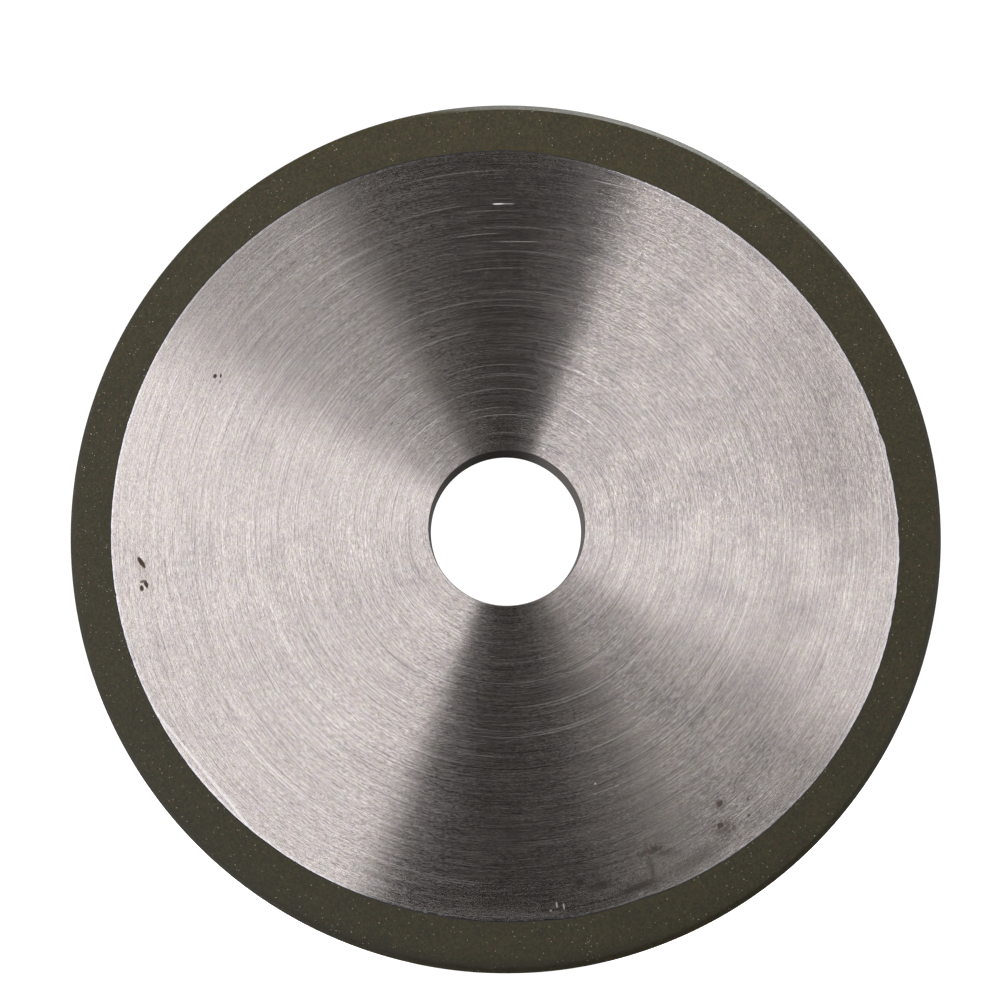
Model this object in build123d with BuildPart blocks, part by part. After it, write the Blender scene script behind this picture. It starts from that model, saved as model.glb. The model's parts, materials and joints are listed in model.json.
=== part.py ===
from build123d import *
import os

# Straight diamond grinding wheel, 7 in across: a turned steel core, and round it a rim of
# resin-bonded diamond held by a thin bonding film and by keying grooves.
# The wheel stands upright and turns about Y. The origin is the wheel's centre, its front
# face looks along -Y, and +Z is up. Sizes are in millimetres.

inch = 25.4

# Driving dimensions
wheel_diameter = 7.0 * inch
wheel_width = 0.5 * inch
bore_diameter = 1.25 * inch
rim_depth = 0.375 * inch  # radial depth of the diamond section
film_thickness = 0.15  # bonding film, measured along the radius
bore_chamfer = 0.15  # breaks the bore's sharp edges
corner_across = 1.15  # dressed corner of the rim, measured along the radius
corner_deep = 0.75  # the same corner, measured along the axis

# Keying grooves, turned into the core's edge so that the rim can't slip sideways
groove_count = 3
groove_pitch = 3.4
groove_depth = 0.9
groove_mouth = 2.0
groove_root = 1.2

# Worked out from the driving dimensions
wheel_radius = wheel_diameter / 2
bore_radius = bore_diameter / 2
core_radius = wheel_radius - rim_depth
rim_inner_radius = core_radius + film_thickness
front = -wheel_width / 2
back = wheel_width / 2


def grooved_edge(radius):
    """Corners (radius, y) of a grooved edge at this radius, from the front face to the back."""
    corners = [(radius, front)]
    for index in range(groove_count):
        middle = (index - (groove_count - 1) / 2) * groove_pitch
        corners.append((radius, middle - groove_mouth / 2))
        corners.append((radius - groove_depth, middle - groove_root / 2))
        corners.append((radius - groove_depth, middle + groove_root / 2))
        corners.append((radius, middle + groove_mouth / 2))
    corners.append((radius, back))
    return corners


# Steel core: a flat disc with the bore through it and the grooves round its edge
with BuildPart() as steel_core:
    with BuildSketch(Plane.XY):
        with BuildLine():
            Polyline(
                *grooved_edge(core_radius),
                (bore_radius, back),
                (bore_radius, front),
                close=True,
            )
        make_face()
    revolve(axis=Axis.Y)
    bore_mouths = steel_core.edges().filter_by(GeomType.CIRCLE).group_by(SortBy.RADIUS)[0]
    chamfer(bore_mouths, length=bore_chamfer)

# Bonding film: follows the core's grooved edge on the inside and carries the rim outside
with BuildPart() as bond_film:
    with BuildSketch(Plane.XY):
        with BuildLine():
            Polyline(
                *grooved_edge(core_radius),
                *reversed(grooved_edge(rim_inner_radius)),
                close=True,
            )
        make_face()
    revolve(axis=Axis.Y)

# Diamond rim: fills the grooves, and its outer corners are dressed to a small bevel
with BuildPart() as diamond_rim:
    with BuildSketch(Plane.XY):
        with BuildLine():
            Polyline(
                *grooved_edge(rim_inner_radius),
                (wheel_radius - corner_across, back),
                (wheel_radius, back - corner_deep),
                (wheel_radius, front + corner_deep),
                (wheel_radius - corner_across, front),
                close=True,
            )
        make_face()
    revolve(axis=Axis.Y)

steel_core.part.label = "steel_core"
bond_film.part.label = "bond_film"
diamond_rim.part.label = "diamond_rim"

os.makedirs("parts", exist_ok=True)
export_step(steel_core.part, "parts/steel_core.step")
export_step(bond_film.part, "parts/bond_film.step")
export_step(diamond_rim.part, "parts/diamond_rim.step")
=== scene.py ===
"""Diamond grinding wheel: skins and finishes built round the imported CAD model.

The wheel stands upright, its axis is Y and its front face looks along -Y. Azimuth is measured
round that axis, 0 at +X and 90 degrees at +Z. Lengths are in metres unless a name says _mm.
"""

import json
import logging
import math
from dataclasses import dataclass
from enum import Enum

import bpy
import numpy as np
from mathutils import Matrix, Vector


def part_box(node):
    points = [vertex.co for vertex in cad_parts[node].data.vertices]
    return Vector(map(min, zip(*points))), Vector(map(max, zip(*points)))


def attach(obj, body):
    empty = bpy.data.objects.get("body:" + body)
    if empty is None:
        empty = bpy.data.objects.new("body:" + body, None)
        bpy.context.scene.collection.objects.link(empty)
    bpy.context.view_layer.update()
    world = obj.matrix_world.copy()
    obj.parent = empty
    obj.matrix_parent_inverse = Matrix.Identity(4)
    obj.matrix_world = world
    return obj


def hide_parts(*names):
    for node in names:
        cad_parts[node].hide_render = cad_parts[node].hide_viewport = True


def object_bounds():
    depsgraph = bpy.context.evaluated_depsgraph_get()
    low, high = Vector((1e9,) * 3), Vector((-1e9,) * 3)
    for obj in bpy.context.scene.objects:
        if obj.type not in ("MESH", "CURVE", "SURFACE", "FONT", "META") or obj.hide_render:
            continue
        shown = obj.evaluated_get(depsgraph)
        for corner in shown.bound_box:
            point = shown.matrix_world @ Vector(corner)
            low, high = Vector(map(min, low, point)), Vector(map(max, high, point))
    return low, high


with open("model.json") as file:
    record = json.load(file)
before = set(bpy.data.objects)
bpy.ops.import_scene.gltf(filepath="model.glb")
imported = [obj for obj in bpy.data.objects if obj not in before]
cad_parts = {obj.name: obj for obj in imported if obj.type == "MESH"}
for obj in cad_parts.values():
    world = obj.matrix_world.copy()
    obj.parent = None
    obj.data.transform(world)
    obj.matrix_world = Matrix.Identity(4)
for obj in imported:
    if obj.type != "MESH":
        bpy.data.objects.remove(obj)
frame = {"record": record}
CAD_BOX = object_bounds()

LOG = logging.getLogger("grinding_wheel")
MM = 0.001
BODY = "root"
Colour = tuple[float, float, float]  # linear red, green and blue
COLUMNS = 1200  # steps round the wheel in each turned skin
SHARP_DEG = 28.0  # edges that turn by more than this are shaded sharp
ROUGH_SECTOR_WIDTH_DEG = 24.0  # half-width of the sector where a joint line is most ragged


# ---------------------------------------------------------------- sizes and shape helpers


@dataclass(frozen=True)
class WheelSizes:
    """The wheel's main sizes, in metres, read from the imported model."""

    outer_radius: float
    core_radius: float
    film: float
    bore_radius: float
    half_width: float
    lowest: float

    @classmethod
    def from_frame(cls) -> "WheelSizes":
        """Reads the sizes from the CAD nodes' boxes and from the bore mount.

        Returns:
            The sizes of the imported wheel.
        """
        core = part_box("steel_core")[1]
        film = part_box("bond_film")[1]
        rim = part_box("diamond_rim")[1]
        bore = next(m for m in frame["record"]["mounts"] if m["name"] == "bore")
        return cls(
            outer_radius=rim.x,
            core_radius=core.x,
            film=film.x - core.x,
            bore_radius=bore["dims"]["r_mm"] * MM,
            half_width=core.y,
            lowest=CAD_BOX[0].z,
        )


def angle_from(azimuth: np.ndarray, middle_deg: float) -> np.ndarray:
    """The angle from this azimuth, in radians, at most half a turn either way."""
    turn = azimuth - math.radians(middle_deg)
    return (turn + math.pi) % (2 * math.pi) - math.pi


def on_wheel(radius: np.ndarray, depth: np.ndarray, azimuth: np.ndarray) -> np.ndarray:
    """The places (radius cos a, depth, radius sin a), in metres."""
    return np.stack([radius * np.cos(azimuth), depth, radius * np.sin(azimuth)], axis=-1)


@dataclass(frozen=True)
class Bump:
    """A local swelling (or, where negative, a bite) in the line where steel meets rim."""

    azimuth_deg: float
    width_deg: float
    height_mm: float

    def along(self, azimuth: np.ndarray) -> np.ndarray:
        """Height times exp(-(angle / width) squared), in metres, at each azimuth."""
        turn = angle_from(azimuth, self.azimuth_deg)
        return self.height_mm * MM * np.exp(-((turn / math.radians(self.width_deg)) ** 2))


@dataclass(frozen=True)
class JointLine:
    """Where the steel's face meets the rim: a circle run off centre, a little oval and ragged.

    Wave k of the tuple, counted from 1, adds height cos k(a - peak) to the radius, so the first
    is the run-out, the second the oval and the third the lobes. The bumps come on top, and a
    fine raggedness that is stronger within a sector.
    """

    waves: tuple[tuple[float, float], ...]  # height in mm and peak in degrees
    ragged_mm: float
    rough_sector_deg: float
    rough_sector_mm: float
    bumps: tuple[Bump, ...]
    seed: int

    def radius(self, base: float, azimuth: np.ndarray) -> np.ndarray:
        """Works out the joint's radius.

        Args:
            base: the mean radius, in metres.
            azimuth: the azimuths, in radians.

        Returns:
            The radius at each azimuth, in metres.
        """
        line = np.full_like(azimuth, base)
        for times, (height_mm, peak_deg) in enumerate(self.waves, start=1):
            line += height_mm * MM * np.cos(times * (azimuth - math.radians(peak_deg)))
        for bump in self.bumps:
            line += bump.along(azimuth)
        fine = smooth_noise((1, azimuth.size), (0.0, 1.6), self.seed)[0]
        sector = Bump(self.rough_sector_deg, ROUGH_SECTOR_WIDTH_DEG, 1.0).along(azimuth) / MM
        return line + fine * (self.ragged_mm + self.rough_sector_mm * sector) * MM


def smooth_noise(shape: tuple[int, int], blur: tuple[float, float], seed: int) -> np.ndarray:
    """Random relief that closes on itself both ways: white noise blurred by a bell curve.

    Args:
        shape: rows along the profile and columns round the wheel.
        blur: the bell curve's width, in rows and in columns.
        seed: the random seed.

    Returns:
        Values with a mean of 0 and a spread of 1.
    """
    noise = np.random.default_rng(seed).standard_normal(shape)
    spectrum = np.fft.fft2(noise)
    for axis, width in enumerate(blur):
        steps = np.fft.fftfreq(shape[axis])
        bell = np.exp(-2 * (math.pi * steps * width) ** 2)
        spectrum *= bell[:, None] if axis == 0 else bell[None, :]
    field = np.fft.ifft2(spectrum).real
    field -= field.mean()
    return field / field.std()


class Ring:
    """Collects the rows of a closed profile and carries it round the wheel's axis.

    A row holds a radius and a depth (y) for each azimuth. Point (row, column) is
    (radius cos a, depth, radius sin a). The last row joins the first, and the last column the
    first, so the skin has no seam, pole or open edge.
    """

    def __init__(self, azimuth: np.ndarray) -> None:
        """Keeps the azimuths that each row has a point at."""
        self.azimuth = azimuth
        self.radii: list[np.ndarray] = []
        self.depths: list[np.ndarray] = []
        self.painted_light_rows: list[np.ndarray] = []

    def row(
        self,
        radius: np.ndarray | float,
        depth: np.ndarray | float,
        rubbed: np.ndarray | float = 0.0,
    ) -> None:
        """Adds one row; a plain number holds all the way round.

        Args:
            radius: the distance from the axis, in metres.
            depth: the place along the axis, in metres.
            rubbed: painted light, from 0, none, to 1, a painted highlight, or down to -1, painted shade.
        """
        lists = (self.radii, self.depths, self.painted_light_rows)
        for values, value in zip(lists, (radius, depth, rubbed)):
            values.append(np.broadcast_to(value, self.azimuth.shape))

    def take(self, other: "Ring", turned: bool = False) -> None:
        """Adds another ring's rows; turned puts them on the other face, in reverse order."""
        rows = list(zip(other.radii, other.depths, other.painted_light_rows))
        for radius, depth, rubbed in reversed(rows) if turned else rows:
            self.row(radius, -depth if turned else depth, rubbed)

    def build(self, name: str, material: bpy.types.Material) -> bpy.types.Object:
        """Makes the skin's object.

        Args:
            name: the object's name.
            material: its finish.

        Returns:
            The object, at the origin, with a UV map whose u runs along the profile and whose v
            runs round the wheel, and with the painted highlight or shade at each point, stored as
            'rubbed'.
        """
        radius = np.stack(self.radii)
        depth = np.stack(self.depths)
        rows, columns = radius.shape
        points = on_wheel(radius, depth, self.azimuth)
        index = np.arange(rows * columns).reshape(rows, columns)
        below = np.roll(index, -1, axis=0)
        quads = np.stack(
            [index, below, np.roll(below, -1, axis=1), np.roll(index, -1, axis=1)], axis=-1
        )
        gaps = np.hypot(
            np.diff(np.r_[radius[:, 0], radius[0, 0]]), np.diff(np.r_[depth[:, 0], depth[0, 0]])
        )
        along = np.r_[0.0, np.cumsum(gaps)] / gaps.sum()
        around = np.arange(columns + 1) / columns
        u = np.stack([along[:-1], along[1:], along[1:], along[:-1]], axis=-1)
        v = np.stack([around[:-1], around[:-1], around[1:], around[1:]], axis=-1)
        uv = np.empty((rows, columns, 4, 2))
        uv[..., 0] = u[:, None, :]
        uv[..., 1] = v[None, :, :]
        piece = mesh_object(name, points.reshape(-1, 3), quads.reshape(-1, 4), material, uv)
        # the 'rubbed' attribute holds painted highlight and painted shade
        layer = piece.data.attributes.new("rubbed", "FLOAT", "POINT")
        layer.data.foreach_set("value", np.concatenate(self.painted_light_rows).astype(np.float32))
        return piece


def mesh_object(
    name: str,
    points: np.ndarray,
    faces: np.ndarray,
    material: bpy.types.Material,
    uv: np.ndarray | None = None,
) -> bpy.types.Object:
    """Puts whole arrays into a mesh and links its object.

    Args:
        name: the object's name.
        points: n by 3 places, in metres.
        faces: m by k point indices, anticlockwise seen from outside.
        material: the finish.
        uv: u and v for every corner of every face, if the skin has a UV map.

    Returns:
        The linked object, at the origin.
    """
    mesh = bpy.data.meshes.new(name)
    count, corners = faces.shape
    mesh.vertices.add(len(points))
    mesh.vertices.foreach_set("co", points.astype(np.float32).ravel())
    mesh.loops.add(count * corners)
    mesh.loops.foreach_set("vertex_index", faces.astype(np.int32).ravel())
    mesh.polygons.add(count)
    mesh.polygons.foreach_set("loop_start", np.arange(count, dtype=np.int32) * corners)
    if uv is not None:
        layer = mesh.uv_layers.new(name="turning")
        layer.data.foreach_set("uv", uv.astype(np.float32).ravel())
    mesh.update(calc_edges=True)
    mesh.validate()
    mesh.materials.append(material)
    piece = bpy.data.objects.new(name, mesh)
    bpy.context.scene.collection.objects.link(piece)
    return piece


# ---------------------------------------------------------------- node wiring


class Wiring:
    """Adds nodes to one node tree and joins them up."""

    def __init__(self, tree: bpy.types.NodeTree) -> None:
        """Keeps the tree."""
        self.tree = tree

    def node(self, kind: str, **settings: object) -> bpy.types.Node:
        """Adds a node of this kind and sets its properties."""
        made = self.tree.nodes.new(kind)
        for name, value in settings.items():
            setattr(made, name, value)
        made.location = (len(self.tree.nodes) * 40, -len(self.tree.nodes) * 12)
        return made

    def feed(self, socket: bpy.types.NodeSocket, value: object) -> None:
        """Links a socket into this one, or sets it to a plain value."""
        if isinstance(value, bpy.types.NodeSocket):
            self.tree.links.new(value, socket)
        else:
            socket.default_value = value

    def math(self, operation: str, *values: object) -> bpy.types.NodeSocket:
        """One arithmetic step on plain numbers."""
        step = self.node("ShaderNodeMath", operation=operation)
        for socket, value in zip(step.inputs, values):
            self.feed(socket, value)
        return step.outputs[0]

    def times(self, first: object, second: object) -> bpy.types.NodeSocket:
        """The product of two numbers."""
        return self.math("MULTIPLY", first, second)

    def plus(self, first: object, second: object) -> bpy.types.NodeSocket:
        """The sum of two numbers."""
        return self.math("ADD", first, second)

    def minus(self, first: object, second: object) -> bpy.types.NodeSocket:
        """The first number less the second."""
        return self.math("SUBTRACT", first, second)

    def larger(self, first: object, second: object) -> bpy.types.NodeSocket:
        """The larger of two numbers."""
        return self.math("MAXIMUM", first, second)

    def vector(self, operation: str, *values: object) -> bpy.types.NodeSocket:
        """One arithmetic step on vectors; scale takes its number second."""
        step = self.node("ShaderNodeVectorMath", operation=operation)
        sockets = (step.inputs[0], step.inputs["Scale"]) if operation == "SCALE" else step.inputs
        for socket, value in zip(sockets, values):
            self.feed(socket, value)
        return step.outputs["Value"] if operation in ("DOT_PRODUCT", "LENGTH") else step.outputs[0]

    def object_place(self) -> bpy.types.NodeSocket:
        """The shaded point, in the object's own coordinates."""
        return self.node("ShaderNodeTexCoord").outputs["Object"]

    def attribute(self, name: str, output: str = "Fac") -> bpy.types.NodeSocket:
        """A value stored with the mesh."""
        return self.node("ShaderNodeAttribute", attribute_name=name).outputs[output]

    def combine(self, x: object, y: object, z: object) -> bpy.types.NodeSocket:
        """A vector from three numbers."""
        step = self.node("ShaderNodeCombineXYZ")
        for socket, value in zip(step.inputs, (x, y, z)):
            self.feed(socket, value)
        return step.outputs[0]

    def ramp(
        self, value: object, low: float, high: float, bottom: float = 0.0, top: float = 1.0
    ) -> bpy.types.NodeSocket:
        """A smooth step: bottom below low, top above high."""
        step = self.node("ShaderNodeMapRange", interpolation_type="SMOOTHSTEP")
        for name, number in zip(
            ("Value", "From Min", "From Max", "To Min", "To Max"), (value, low, high, bottom, top)
        ):
            self.feed(step.inputs[name], number)
        return step.outputs["Result"]

    def noise(
        self, vector: object, scale: float = 1.0, detail: float = 2.0, rough: float = 0.5
    ) -> bpy.types.Node:
        """Cloudy noise; its Fac output is about 0.5 on average."""
        step = self.node("ShaderNodeTexNoise")
        self.feed(step.inputs["Vector"], vector)
        step.inputs["Scale"].default_value = scale
        step.inputs["Detail"].default_value = detail
        step.inputs["Roughness"].default_value = rough
        return step

    def mix(
        self, share: object, first: object, second: object, blend: str = "MIX"
    ) -> bpy.types.NodeSocket:
        """Mixes two colours."""
        step = self.node("ShaderNodeMix", data_type="RGBA", blend_type=blend)
        self.feed(step.inputs["Factor"], share)
        colours = [s for s in step.inputs if s.type == "RGBA"]
        self.feed(colours[0], first)
        self.feed(colours[1], second)
        return next(s for s in step.outputs if s.type == "RGBA")

    def layers(
        self, colour: object, *layers: tuple[object, tuple[float, ...]]
    ) -> bpy.types.NodeSocket:
        """Lays plain colours over a colour, one after another.

        Args:
            colour: the colour underneath.
            layers: for each layer, its share and its red, green and blue.

        Returns:
            The mixed colour.
        """
        for share, over in layers:
            colour = self.mix(share, colour, (*over, 1.0))
        return colour

    def tinted(
        self, colour: object, value: object, low: Colour, high: Colour, share: object = 1.0
    ) -> bpy.types.NodeSocket:
        """Multiplies a colour by a tint that goes from low to high as the value rises."""
        tint = self.mix(value, (*low, 1.0), (*high, 1.0))
        return self.mix(share, colour, tint, "MULTIPLY")

    def bump(self, height: object, strength: float, depth_mm: float) -> bpy.types.Node:
        """A bump of this height; its Normal input is left free."""
        made = self.node("ShaderNodeBump")
        made.inputs["Strength"].default_value = strength
        made.inputs["Distance"].default_value = depth_mm * MM
        self.feed(made.inputs["Height"], height)
        return made

    def group(self, tree: bpy.types.NodeTree, **values: object) -> dict[str, object]:
        """Places a node group and returns its outputs by name."""
        step = self.node("ShaderNodeGroup", node_tree=tree)
        for name, value in values.items():
            self.feed(step.inputs[name], value)
        return {socket.name: socket for socket in step.outputs}


def grey(level: float) -> tuple[float, float, float, float]:
    """A neutral colour of this linear level."""
    return (level, level, level, 1.0)


class Effects:
    """Shader groups that several finishes share, each built once."""

    def __init__(self) -> None:
        """Builds every group."""
        self.place = self._place()
        self.marks = self._marks()
        self.spot = self._spot()
        self.wear = self._wear()
        self.cloud = self._cloud()
        self.grain = self._grain()

    @staticmethod
    def _tree(
        name: str, inputs: dict[str, float], **outputs: str
    ) -> tuple[bpy.types.NodeTree, Wiring, dict[str, object], dict[str, object]]:
        """Starts a group.

        Args:
            name: the group's name.
            inputs: input names and their usual values.
            outputs: for each kind of socket, the names of the outputs of that kind.

        Returns:
            The tree, its wiring, its inputs by name and the sockets of its outputs by name.
        """
        tree = bpy.data.node_groups.new(name, "ShaderNodeTree")
        for label, value in inputs.items():
            made = tree.interface.new_socket(
                name=label, in_out="INPUT", socket_type="NodeSocketFloat"
            )
            made.default_value = value
        for kind, labels in outputs.items():
            for label in labels.split():
                tree.interface.new_socket(
                    name=label, in_out="OUTPUT", socket_type=f"NodeSocket{kind}"
                )
        wires = Wiring(tree)
        given = {s.name: s for s in wires.node("NodeGroupInput").outputs}
        out = {s.name: s for s in wires.node("NodeGroupOutput").inputs}
        return tree, wires, given, out

    @classmethod
    def _place(cls) -> bpy.types.NodeTree:
        """Where a point is on the wheel.

        Radius and Depth are in millimetres, Outward is the unit vector away from the axis, Round
        is the unit vector along the circumference, and Side is -1 in front and 1 behind.
        """
        tree, w, _, out = cls._tree(
            "wheel_place", {}, Float="Radius Depth Side", Vector="Outward Round"
        )
        point = w.object_place()
        split = w.node("ShaderNodeSeparateXYZ")
        w.feed(split.inputs[0], point)
        flat = w.combine(split.outputs[0], 0.0, split.outputs[2])
        outward = w.vector("NORMALIZE", flat)
        w.feed(out["Radius"], w.times(w.vector("LENGTH", flat), 1 / MM))
        w.feed(out["Depth"], w.times(split.outputs[1], 1 / MM))
        w.feed(out["Outward"], outward)
        w.feed(out["Round"], w.vector("CROSS_PRODUCT", outward, (0.0, 1.0, 0.0)))
        w.feed(out["Side"], w.math("SIGN", split.outputs[1]))
        return tree

    def _marks(self) -> bpy.types.NodeTree:
        """Concentric tool marks: noise stretched along the circumference.

        A layer of marks is noise read at (point / length, radius x pitch), so a mark is about
        length millimetres long and there are pitch of them to the millimetre. Marks is the
        layers' even mixture, Bright the few long arcs that get a painted glint and Dark the few
        that get painted shade, Slope how steeply each furrow's side faces outward or inward,
        Lean how far it leans along the cut, and Grain the steel's own fine grain, which isn't
        stretched.
        """
        tree, w, given, out = self._tree(
            "tool_marks",
            {"Length": 12.0, "Pitch": 2.1},
            Float="Marks Bright Dark Slope Lean Grain",
        )
        here = w.group(self.place)
        point = w.vector("SCALE", here["Outward"], here["Radius"])
        side = w.times(here["Side"], 17.3)
        shift = w.times(here["Depth"], given["Pitch"])
        across = w.times(here["Radius"], given["Pitch"])

        def layer(length: float, pitch: float, offset: float, detail: float) -> object:
            """Noise with its own share of length and pitch."""
            reach = w.times(given["Length"], length)
            turned = w.vector("SCALE", point, w.math("DIVIDE", 1.0, reach))
            run = w.combine(w.plus(shift, offset), w.times(across, pitch), side)
            return w.noise(w.vector("ADD", turned, run), 1.0, detail, 0.55).outputs["Fac"]

        broad = layer(3.0, 0.45, 3.1, 2.0)
        middle = layer(1.6, 1.2, 11.7, 2.0)
        fine = layer(1.0, 2.4, 23.9, 1.0)
        mixed = w.plus(w.times(middle, 0.3), w.times(fine, 0.55))
        mixed = w.plus(w.times(broad, 0.15), mixed)
        w.feed(out["Marks"], w.ramp(mixed, 0.3, 0.7))
        w.feed(out["Bright"], w.ramp(layer(2.6, 2.3, 41.3, 0.0), 0.71, 0.78))
        w.feed(out["Dark"], w.ramp(layer(1.8, 2.0, 57.9, 0.0), 0.29, 0.22))
        furrow = w.minus(layer(0.1, 11.0, 73.7, 2.0), 0.5)
        w.feed(out["Slope"], w.times(furrow, 4.0))
        lean = w.minus(layer(2.0, 1.4, 57.1, 2.0), 0.5)
        w.feed(out["Lean"], w.times(lean, 2.0))
        w.feed(out["Grain"], w.noise(w.object_place(), 2500.0, 1.0, 0.6).outputs["Fac"])
        return tree

    def _spot(self) -> bpy.types.NodeTree:
        """One blemish: 1 inside a ragged ellipse centred at (Azimuth, Radius), 0 outside.

        With t and n the distances along and across the spot's own direction, which is turned by
        Turn from the circumference, it is a smooth step of the length of (t / Length, n / Width).
        """
        tree, w, given, out = self._tree(
            "spot",
            {"Azimuth": 0.0, "Radius": 50.0, "Length": 1.0, "Width": 1.0}
            | {"Turn": 0.0, "Side": -1.0, "Soft": 0.2, "Ragged": 0.4},
            Float="Mask",
        )
        here = w.group(self.place)
        point = w.vector("SCALE", here["Outward"], here["Radius"])
        cosine = w.math("COSINE", given["Azimuth"])
        sine = w.math("SINE", given["Azimuth"])
        centre = w.vector("SCALE", w.combine(cosine, 0.0, sine), given["Radius"])
        away = w.vector("SUBTRACT", point, centre)
        facing = w.plus(given["Azimuth"], given["Turn"])
        cross = w.combine(w.math("COSINE", facing), 0.0, w.math("SINE", facing))
        along = w.vector("CROSS_PRODUCT", cross, (0.0, 1.0, 0.0))
        t = w.math("DIVIDE", w.vector("DOT_PRODUCT", away, along), given["Length"])
        n = w.math("DIVIDE", w.vector("DOT_PRODUCT", away, cross), given["Width"])
        reach = w.vector("LENGTH", w.combine(t, n, 0.0))
        crumb = w.noise(point, 1.7, 3.0, 0.6).outputs["Fac"]
        rough = w.times(w.minus(crumb, 0.5), given["Ragged"])
        reach = w.plus(reach, w.times(rough, 4.0))
        edge = w.node("ShaderNodeMapRange", interpolation_type="SMOOTHSTEP")
        w.feed(edge.inputs["Value"], reach)
        w.feed(edge.inputs["From Min"], w.plus(given["Soft"], 1.0))
        w.feed(edge.inputs["From Max"], w.minus(1.0, given["Soft"]))
        near = w.math("COMPARE", here["Side"], given["Side"], 0.5)
        w.feed(out["Mask"], w.times(edge.outputs["Result"], near))
        return tree

    def _wear(self) -> bpy.types.NodeTree:
        """Wear along a turned corner: 1 on the circle (Radius, Depth), 0 beyond Reach from it.

        The reach swells and shrinks with a slow noise, so the worn line isn't even.
        """
        tree, w, given, out = self._tree(
            "corner_wear",
            {"Radius": 80.0, "Depth": 6.0, "Reach": 0.5},
            Float="Mask",
        )
        here = w.group(self.place)
        outward = w.minus(here["Radius"], given["Radius"])
        inward = w.minus(w.math("ABSOLUTE", here["Depth"]), given["Depth"])
        distance = w.vector("LENGTH", w.combine(outward, inward, 0.0))
        uneven = w.noise(w.object_place(), 260.0, 3.0, 0.6).outputs["Fac"]
        reach = w.times(given["Reach"], w.times(uneven, 2.0))
        w.feed(out["Mask"], w.ramp(w.math("DIVIDE", distance, reach), 1.0, 0.15))
        return tree

    def _cloud(self) -> bpy.types.NodeTree:
        """Cloudy patches, Size millimetres across: an even Value and a softer Patch mask."""
        tree, w, given, out = self._tree(
            "cloudy_patches",
            {"Size": 10.0, "Seed": 0.0},
            Float="Value Patch",
        )
        scaled = w.vector("SCALE", w.object_place(), w.math("DIVIDE", 1 / MM, given["Size"]))
        moved = w.vector("ADD", scaled, w.combine(given["Seed"], given["Seed"], 0.0))
        value = w.noise(moved, 1.0, 3.0, 0.5).outputs["Fac"]
        w.feed(out["Value"], value)
        w.feed(out["Patch"], w.ramp(value, 0.45, 0.65))
        return tree

    def _grain(self) -> bpy.types.NodeTree:
        """The bond's grain: Height for the bump, Mottle for colour, and glinting Specks."""
        tree, w, given, out = self._tree(
            "bond_grain",
            {"Size": 0.4},
            Float="Height Mottle Warm Specks",
            Color="Tint",
        )
        scaled = w.vector("SCALE", w.object_place(), w.math("DIVIDE", 1 / MM, given["Size"]))
        for name, scale, detail, rough in (
            ("Height", 1.6, 4.0, 0.65),
            ("Mottle", 0.9, 3.0, 0.6),
            ("Warm", 0.4, 3.0, 0.6),
        ):
            w.feed(out[name], w.noise(scaled, scale, detail, rough).outputs["Fac"])
        cells = w.node("ShaderNodeTexVoronoi", feature="F1")
        w.feed(cells.inputs["Vector"], scaled)
        cells.inputs["Scale"].default_value = 1.1
        split = w.node("ShaderNodeSeparateColor")
        w.feed(split.inputs[0], cells.outputs["Color"])
        chosen = w.math("POWER", w.ramp(split.outputs[0], 0.91, 1.0), 1.6)
        size = w.ramp(cells.outputs["Distance"], 0.30, 0.16)
        w.feed(out["Specks"], w.times(chosen, size))
        w.feed(out["Tint"], cells.outputs["Color"])
        return tree


# ---------------------------------------------------------------- finishes


class Mark(Enum):
    """What a blemish is."""

    RUST = "rust"
    STAIN = "stain"
    SCRATCH = "scratch"


@dataclass(frozen=True)
class Blemish:
    """One blemish on a steel face; length runs along the cut unless it is turned."""

    azimuth_deg: float
    radius_mm: float
    length_mm: float
    width_mm: float
    turn_deg: float = 0.0
    soft: float = 0.25
    ragged: float = 0.35
    front: bool = True
    strength: float = 1.0


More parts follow.
